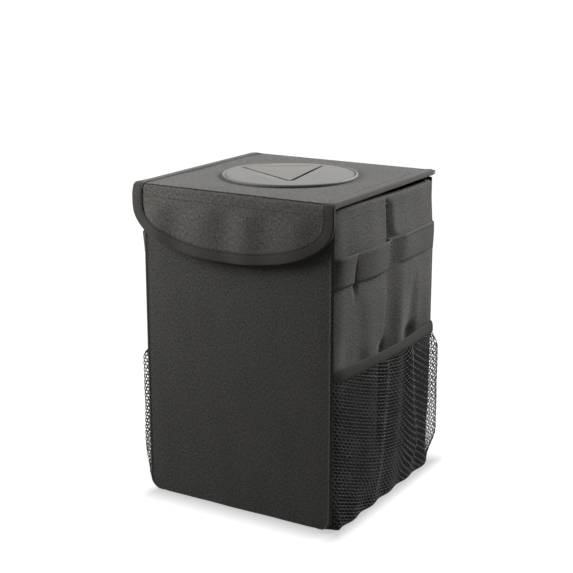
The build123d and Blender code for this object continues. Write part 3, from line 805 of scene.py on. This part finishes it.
even = np.linspace(-1, 1, 131)
x = FLAP_HALF * (0.3 * np.sin(even * math.pi / 2) + 0.7 * even)
rows = []
for fold in np.radians(np.linspace(0, 84, 9)):
    fold_y, fold_z = between(LID_FRONT, FLAP_FRONT, math.sin(fold)), FLAP_FOLD_Z + FLAP_RISE * math.cos(fold)
    rows.append(np.stack(np.broadcast_arrays(x, fold_y, fold_z), 1))
for share in np.concatenate([[0.0], np.linspace(0.05, 1, 40)]):
    z = between(FLAP_FOLD_Z, flap_low(x), share)
    rows.append(np.stack([x, flap_y(x, z), z], 1))
face = np.array(rows)
inner = ease((face[..., 2] - flap_low(face[..., 0])) / 12) * ease((FLAP_HALF - np.abs(face[..., 0])) / 12)
thick = between(FLAP_HEM, FLAP_THICK, inner)
flap = cloth_piece("front_flap_cloth", face, thick, (0, -1, 0.2), (0, 2), flap_cloth)
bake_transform(flap)
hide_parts("front_flap")

# Edge binding
# One length of woven tape, folded over the lid's left edge, on round the flap and back along the right edge.
# It is sewn through with one row of stitches near its inner edge.

# Woven tape: dark, dull and hairy, so it pales at a slant; its cords, really 0.5 mm apart, are drawn 1.2 mm
binding_tape, tree, cut = start_material("polyester_tape_woven", by_cut=True)
along = add(tree, "ShaderNodeSeparateXYZ", {0: cut}).outputs[0]
cords = add(tree, "ShaderNodeMath", {0: along, 1: 2 * math.pi / 0.0012}, operation="MULTIPLY")
ribs = add(tree, "ShaderNodeMath", {0: cords}, operation="SINE")
run = add(tree, "ShaderNodeMapping", {"Vector": cut, "Scale": (1 / 0.003, 1 / 0.0009, 1.0)})
uneven = add(tree, "ShaderNodeTexNoise", {"Vector": run, "Scale": 1.0, "Detail": 3.0})
tone = add(tree, "ShaderNodeMath", {0: ribs, 1: 0.12, 2: uneven}, operation="MULTIPLY_ADD", use_clamp=True)
dull = {"Roughness": 0.95, "Sheen Weight": 0.19, "Sheen Roughness": 0.6, "Specular IOR Level": 0.04}
surface(tree, tone, "#42403e", "#63615d", dull, tone, (0.35, 0.0003))

BIND_WIDE, BIND_THICK, BIND_FOLD = 8.5, 0.6, 2.0
LID_MIDDLE, LID_EDGE, FLAP_EDGE = 249.0, 1.5, 0.6
BACK_ROUND, TOPSTITCH_Z = 4.5, 241.5
# The left half of its path: 44 points along the lid, 8 round the fold, 8 down the flap's edge, 70 round below.
# Tilt is how far the tape is turned down there, from none on the lid to a right angle on the flap
fold = np.radians(np.linspace(8, 82, 8))
sweep = np.radians(np.linspace(0, 90, 70))
low_x, low_z = np.cos(sweep) ** (2 / FLAP_POWER), np.sin(sweep) ** (2 / FLAP_POWER)
half_x = np.concatenate([np.full(60, -LID_HALF), -FLAP_HALF * low_x])
fold_z = FLAP_FOLD_Z + BIND_FOLD * np.cos(fold)
drop_z = np.linspace(FLAP_FOLD_Z, FLAP_SHOULDER + 0.5, 8)
half_z = np.concatenate([np.full(44, LID_MIDDLE), fold_z, drop_z, FLAP_SHOULDER - FLAP_ROUND * low_z])
fold_y = LID_FRONT - BIND_FOLD * np.sin(fold)
lid_y = np.concatenate([np.linspace(LID_BACK, LID_FRONT + 1, 44), fold_y, np.zeros(78)])
tilt = np.concatenate([np.zeros(44), fold, np.full(78, math.pi / 2)])
# The right half mirrors it, with its own waves
order = np.concatenate([np.arange(130), np.arange(128, -1, -1)])
x, z, tilt = np.concatenate([half_x, -half_x[-2::-1]]), half_z[order], tilt[order]
y = np.where(tilt > 1.5, flap_y(x, z) + FLAP_EDGE, lid_y[order])
path = np.stack([x, y, z], 1)
up = np.stack([0 * tilt, -np.sin(tilt), np.cos(tilt)], 1)
thick = between(LID_EDGE, FLAP_EDGE, tilt / (math.pi / 2))
# It is drawn in round the lid's back corners and stands out at the left fold
corner = np.clip((path[:, 1] - LID_BACK + BACK_ROUND) / BACK_ROUND, 0, 1)
path[:, 0] -= np.sign(path[:, 0]) * 3.0 * (1 - np.sqrt(1 - corner**2))
folded = np.linalg.norm(path - np.array([-LID_HALF, LID_FRONT - 1, FLAP_FOLD_Z]), axis=1)
path[:, 0] -= 2.0 * hill(folded / 9)
tangent = np.gradient(path, axis=0)
tangent /= np.linalg.norm(tangent, axis=1, keepdims=True)
inward = np.cross(up, tangent)
inward /= np.linalg.norm(inward, axis=1, keepdims=True)
if np.sum(inward[:, 0] * path[:, 0]) > 0:
    inward = -inward
up = np.cross(tangent, inward)
up *= np.sign(np.sum(up * np.array([0, -1.0, 1.0]), axis=1))[:, None]
round_edge = np.radians(np.linspace(90, 270, 9))
square = np.stack([np.cos(round_edge), np.sin(round_edge)], 1)
square = np.sign(square) * np.abs(square) ** (2 / 3)
section = []
for t in thick:
    top = t + BIND_THICK
    flat = np.array([[0, t], [0.2, t + 0.45], [-0.3, top], [-BIND_WIDE / 2, top + 0.1]]) + [BIND_WIDE, 0]
    outer_turn = np.array([1.0, 0.0]) + square * np.array([1.0 + BIND_THICK, top])
    inner_turn = np.array([1.0, 0.0]) + square[::-1] * np.array([1.0, t])
    section.append(np.concatenate([flat, outer_turn, flat[::-1] * np.array([1.0, -1.0]), inner_turn]))
binding = swept("edge_binding_tape", path, inward, up, np.array(section), binding_tape)
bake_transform(binding)
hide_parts("left_lid_binding", "right_lid_binding", "flap_binding")
sewn_line = path + inward * (BIND_WIDE - 1.0) + up * (thick + BIND_THICK + 0.05)[:, None]
on_flap = path[:, 2] < FLAP_FOLD_Z - 0.5
first, last = np.argmax(on_flap), len(on_flap) - np.argmax(on_flap[::-1])
sewn_line[-43:, 2] -= 0.22
lid_stitches = sewn("lid_binding_stitches", [sewn_line[:43], sewn_line[-43:]], pitch=3.0, size=(1.45, 0.5, 0.4))
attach(lid_stitches, "lid")
x = np.linspace(-76, 76, 90)
z = 0 * x + TOPSTITCH_Z
topstitch = np.stack([x, flap_y(x, z) + 0.12, z], 1)
flap_stitches = sewn("flap_stitches", [sewn_line[first:last], topstitch], pitch=3.0, size=(1.25, 0.34, 0.34))
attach(flap_stitches, "flap")

# Slit plate
# A moulded rubber disc, sewn to the lid round its hole, with a rounded raised rim and a fine groove inside it.
# A V cut frees a tongue in its middle.

# Moulded rubber: even grey with a slight bloom over about 22 mm, and a grain from the mould about 0.9 mm apart
rubber, tree, place = start_material("thermoplastic_rubber_moulded")
bloom = add(tree, "ShaderNodeTexNoise", {"Vector": place, "Scale": 1 / 0.022, "Detail": 3.0})
grain = add(tree, "ShaderNodeTexNoise", {"Vector": place, "Scale": 1 / 0.0009, "Detail": 2.0})
gloss = add(tree, "ShaderNodeMapRange", {"Value": grain, "To Min": 0.42, "To Max": 0.58})
grained = {"Roughness": gloss, "Specular IOR Level": 0.45}
surface(tree, bloom, "#757470", "#84837e", grained, grain, (0.2, 0.0002))

PLATE_LOW, PLATE_THICK, PLATE_RADIUS, PLATE_RIM, GROOVE = 250.5, 1.9, 53.2, 2.0, 1.0
SLIT_TURN, SLIT_SHIFT, TIP_ROUND = math.radians(36.3), 3.0, 3.3
SLIT_TIP, SLIT_ROOT, SLIT_HALF, SLIT = 34.2, 32.0, 31.8, 0.8


def on_lid(across, along):
    """Where on the lid, x and y in mm, a place across and along the turned slit is."""
    cosine, sine = math.cos(SLIT_TURN), math.sin(SLIT_TURN)
    return across * cosine - along * sine, PLATE_Y + across * sine + along * cosine


# The cut is a triangle with a round tip. Reach is how far it goes from the plate's centre in each direction
slope = SLIT_HALF / (SLIT_TIP + SLIT_ROOT)
half_angle = math.atan(slope)
cut_tip = SLIT_TIP + SLIT * math.sqrt(1 + slope**2) / slope
cut_back = SLIT_ROOT + 1.4
cut_half = (cut_back + cut_tip) * slope
tip_x, tip_y = -SLIT_SHIFT, -cut_tip + TIP_ROUND / math.sin(half_angle)
corners = [math.atan2(cut_back, cut_half - SLIT_SHIFT), math.atan2(cut_back, -cut_half - SLIT_SHIFT)]
turn = np.sort(np.concatenate([np.linspace(-math.pi, math.pi, 300, endpoint=False), corners]))
reach = []
for t in turn:
    c, s = math.cos(t), math.sin(t)
    ways = [cut_back / s] if s > 1e-9 else []
    for sign in (1, -1):
        facing = sign * c - slope * s
        if facing > 1e-9:
            ways.append((slope * cut_tip - sign * SLIT_SHIFT) / facing)
    toward = c * tip_x + s * tip_y
    square = toward**2 - tip_x**2 - tip_y**2 + TIP_ROUND**2
    if square > 0 and (toward + math.sqrt(square)) * s < tip_y - TIP_ROUND * math.sin(half_angle):
        ways.append(toward + math.sqrt(square))
    reach.append(min(w for w in ways if w > 0))
reach = np.array(reach)
# Its profile, as radius and height: up the cut, over the field, the groove and the rim, and back underneath
field, seat = PLATE_RADIUS - PLATE_RIM - 0.8, PLATE_RADIUS - 1.2
stations = [(reach, 0.0), (reach, PLATE_THICK - 0.2), (reach + 0.2, PLATE_THICK)]
stations += [(between(reach, field, s), PLATE_THICK) for s in (0.25, 0.5, 0.75, 1.0)]
stations += [(field + 0.15, PLATE_THICK - GROOVE), (field + 0.85, PLATE_THICK - GROOVE)]
for t in np.radians(np.linspace(165, 0, 10)):
    stations.append((PLATE_RADIUS - (1 - math.cos(t)) * PLATE_RIM / 2, PLATE_THICK - 0.3 + 0.8 * math.sin(t)))
stations += [(PLATE_RADIUS - 0.05, 0.8), (seat, 0.45), (seat, 0.0)]
stations += [(between(reach, seat, s), 0.0) for s in (0.7, 0.3)]
points = []
for radius, height in stations:
    x, y = on_lid(radius * np.cos(turn), radius * np.sin(turn))
    points.append(np.stack([x, y, np.full(len(turn), PLATE_LOW + height)], 1))
rows, columns = len(points), len(turn)
faces = []
for r in range(rows):
    for c in range(columns):
        q, d = (r + 1) % rows, (c + 1) % columns
        faces.append((r * columns + c, q * columns + c, q * columns + d, r * columns + d))
points = np.concatenate(points)
cuts = points[np.array([v for f in faces for v in f])][:, :2]
plate = closed_mesh("slit_plate_rubber", points, faces, cuts, rubber)
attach(plate, "lid")
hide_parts("slit_plate")

# Tongue
# The triangle of the plate that the V cut frees, one piece of rubber with the plate at its root.
# It bends down about that root when rubbish is pushed through; it is built here only at rest, where its tip curls
# up by a hair.

SLIT_SHOWN, TONGUE_CURL, TONGUE_EDGE = 2.3, 0.15, 0.5
tongue_round = TIP_ROUND - SLIT_SHOWN
end, bend = tip_y - tongue_round, tip_y - tongue_round * math.sin(half_angle)
away = np.concatenate([end + np.array([0.02, 0.1, 0.25, 0.5]), np.linspace(bend, cut_back, 40)])[:, None]
ball = np.sqrt(np.maximum(tongue_round**2 - (away - tip_y) ** 2, 0.01))
wide = np.where(away < bend, ball, (away + cut_tip) * slope - SLIT_SHOWN * math.sqrt(1 + slope**2))
share = np.linspace(-1, 1, 31)[None]
x, y = on_lid(share * wide - SLIT_SHIFT - 0.5 * ease((cut_back - away) / 20), away)
z = PLATE_LOW + PLATE_THICK - 0.005 + TONGUE_CURL * ease((cut_back - 6 - away) / 40)
face = np.stack(np.broadcast_arrays(x, y, z), 2)
inside = np.minimum((1 - np.abs(share)) * wide, away - end)
thick = between(TONGUE_EDGE, PLATE_THICK, ease(inside / 5))
tongue = cloth_piece("slit_tongue_rubber", face, thick, (0, 0, 1), (0, 1), rubber, edge=0.05)
toward = np.array([math.sin(SLIT_TURN), -math.cos(SLIT_TURN), 0]) * 0.001
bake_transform(tongue)
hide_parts("slit_tongue")

# Touch fastener
# Two sewn patches that hold the flap shut: a looped pile on the front panel and hooks inside the flap.
# Both follow the flap's waves, so that they meet when it is shut.

# Knitted pile: black fuzz of small loops about 1.2 mm across
pile, tree, place = start_material("nylon_pile_knitted")
loops = add(tree, "ShaderNodeTexVoronoi", {"Vector": place, "Scale": 1 / 0.0012}).outputs["Distance"]
relief = add(tree, "ShaderNodeBump", {"Strength": 0.8, "Distance": 0.0006, "Height": loops}, invert=True)
fuzz = {"Normal": relief, "Roughness": 0.95, "Sheen Weight": 0.4, "Specular IOR Level": 0.2}
surface(tree, loops, "#2a2a29", "#151515", fuzz)

PATCH_Z, PATCH_WIDE, PATCH_TALL, PATCH_HEM = 218.5, 60.0, 17.0, 0.7
u, v = np.meshgrid(np.linspace(-1, 1, 61), np.linspace(-1, 1, 19))
x, z = u * (PATCH_WIDE / 2 - PATCH_HEM), PATCH_Z + v * (PATCH_TALL / 2 - PATCH_HEM)
domed = 0.3 * (1 - u**8) * (1 - v**6)
hooks_y = flap_y(x, z) + FLAP_THICK + 1.0 + 0.2 * (1 - u**8)
pile_y = np.minimum(hooks_y + 0.25, -(PANEL_Y + 1.1 + domed))
face = np.stack([x, pile_y, z], 2)
loops_patch = cloth_piece("loop_patch_pile", face, -PANEL_Y - pile_y + 0.1, (0, -1, 0), (0, 2), pile, edge=0.1)
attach(loops_patch, "bin")
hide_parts("loop_patch")

face = np.stack([x, hooks_y, z], 2)
hooks_patch = cloth_piece("hook_patch_tape", face, 1.2, (0, 1, 0), (0, 2), pile)
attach(hooks_patch, "flap")
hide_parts("hook_patch")

# Studio
# A white floor in a white surround, with a painted contact shadow: its glow is lower close to the bin. The key
# lamp stands high behind on the right, a wide weak one hangs above, and a small fill lamp stands near the front
# on the left.

WHITE, FLOOR_HALF, FLOOR_Z = (1.0, 1.0, 1.0, 1.0), 14, -0.0003


def seen_rays(tree):
    """1 for rays that show a thing, straight, in a gloss or through glass, and 0 for those that only light it."""
    rays = add(tree, "ShaderNodeLightPath").outputs
    seen = add(tree, "ShaderNodeMath", {0: rays["Is Camera Ray"], 1: rays["Is Glossy Ray"]}, operation="MAXIMUM")
    return add(tree, "ShaderNodeMath", {0: seen, 1: rays["Is Transmission Ray"]}, operation="MAXIMUM")


floor_paint, tree, apart = start_material("studio_floor_white")
matt = add(tree, "ShaderNodeBsdfDiffuse", {"Color": (0.12, 0.12, 0.12, 1.0)})
# How far in metres from the bin's foot, counted half in front and behind
for operation, value in (
    ("SUBTRACT", (0.008, 0.0, 0.0)),
    ("ABSOLUTE", (0.0, 0.0, 0.0)),
    ("SUBTRACT", (0.081, 0.083, 1.0)),
    ("MAXIMUM", (0.0, 0.0, 0.0)),
    ("MULTIPLY", (1.0, 0.5, 1.0)),
):
    apart = add(tree, "ShaderNodeVectorMath", {0: apart, 1: value}, operation=operation)
far = add(tree, "ShaderNodeVectorMath", {0: apart}, operation="LENGTH").outputs["Value"]
# Painted shadow: the floor's glow falls from 0.96 to 0.52 within 10.5 mm of the bin's foot, and is 0.05 lower
# again out to 0.3 m
pale = add(tree, "ShaderNodeMapRange", {"Value": far, "From Max": 0.0105, "To Min": 0.52, "To Max": 0.96})
paler = add(tree, "ShaderNodeMapRange", {"Value": far, "From Min": 0.1, "From Max": 0.3, "To Max": 0.05})
level = add(tree, "ShaderNodeMath", {0: pale, 1: paler}, operation="ADD")
lift = add(tree, "ShaderNodeMath", {0: seen_rays(tree), 1: level}, operation="MULTIPLY")
glow = add(tree, "ShaderNodeEmission", {"Color": WHITE, "Strength": lift})
both = add(tree, "ShaderNodeAddShader", {0: matt, 1: glow})
add(tree, "ShaderNodeOutputMaterial", {"Surface": both})
ground = bpy.data.meshes.new("floor")
corners = [(x * FLOOR_HALF, y * FLOOR_HALF, FLOOR_Z) for x, y in ((-1, -1), (1, -1), (1, 1), (-1, 1))]
ground.from_pydata(corners, [], [(0, 1, 2, 3)])
ground.materials.append(floor_paint)
floor = bpy.data.objects.new("floor", ground)
bpy.context.scene.collection.objects.link(floor)

world = bpy.data.worlds.new("studio")
bpy.context.scene.world = world
world.use_nodes = True
tree = world.node_tree
tree.nodes.clear()
level = add(tree, "ShaderNodeMapRange", {"Value": seen_rays(tree), "To Min": 0.06, "To Max": 1.0})
air = add(tree, "ShaderNodeBackground", {"Color": WHITE, "Strength": level})
add(tree, "ShaderNodeOutputWorld", {"Surface": air})


def looking(place, aim):
    """Matrix of a lamp or camera at a place that looks at a point, upright."""
    back = (Vector(place) - Vector(aim)).normalized()
    right = Vector((0, 0, 1)).cross(back).normalized()
    turned = Matrix((right, back.cross(right), back)).transposed().to_4x4()
    turned.translation = Vector(place)
    return turned


def lamp(name, place, aim, size, watts):
    """Square soft lamp at a place in metres, turned to aim at a point."""
    data = bpy.data.lights.new(name, "AREA")
    data.shape = "SQUARE"
    data.size = size
    data.energy = watts
    thing = bpy.data.objects.new(name, data)
    thing.matrix_world = looking(place, aim)
    bpy.context.scene.collection.objects.link(thing)


lamp("key_lamp", (0.52, 0.8, 0.82), (0, 0, 0.12), 0.42, 17)
lamp("top_lamp", (0.0, 0.2, 1.9), (0, 0, 0.2), 0.9, 2)
lamp("fill_lamp", (-0.35, -0.30, 0.40), (0, -0.05, 0.16), 0.25, 1.65)

AZIMUTH, ELEVATION, DISTANCE, LENS, SENSOR = math.radians(30.90), math.radians(14.84), 1.070, 83.12, 36.0
VIEW_CENTRE, VIEW_RIGHT, VIEW_UP = np.array([0, 0, 0.125]), -0.00389, 0.03418
level = math.cos(ELEVATION)
backward = np.array([math.sin(AZIMUTH) * level, -math.cos(AZIMUTH) * level, math.sin(ELEVATION)])
rightward = np.array([math.cos(AZIMUTH), math.sin(AZIMUTH), 0.0])
upward = np.cross(backward, rightward)
target = VIEW_CENTRE + VIEW_RIGHT * rightward + VIEW_UP * upward
camera_data = bpy.data.cameras.new("camera")
camera_data.lens = LENS
camera_data.sensor_width = SENSOR
camera = bpy.data.objects.new("camera", camera_data)
camera.matrix_world = looking(tuple(target + DISTANCE * backward), tuple(target))
bpy.context.scene.collection.objects.link(camera)
bpy.context.scene.camera = camera
bpy.context.scene.view_settings.view_transform = "Standard"
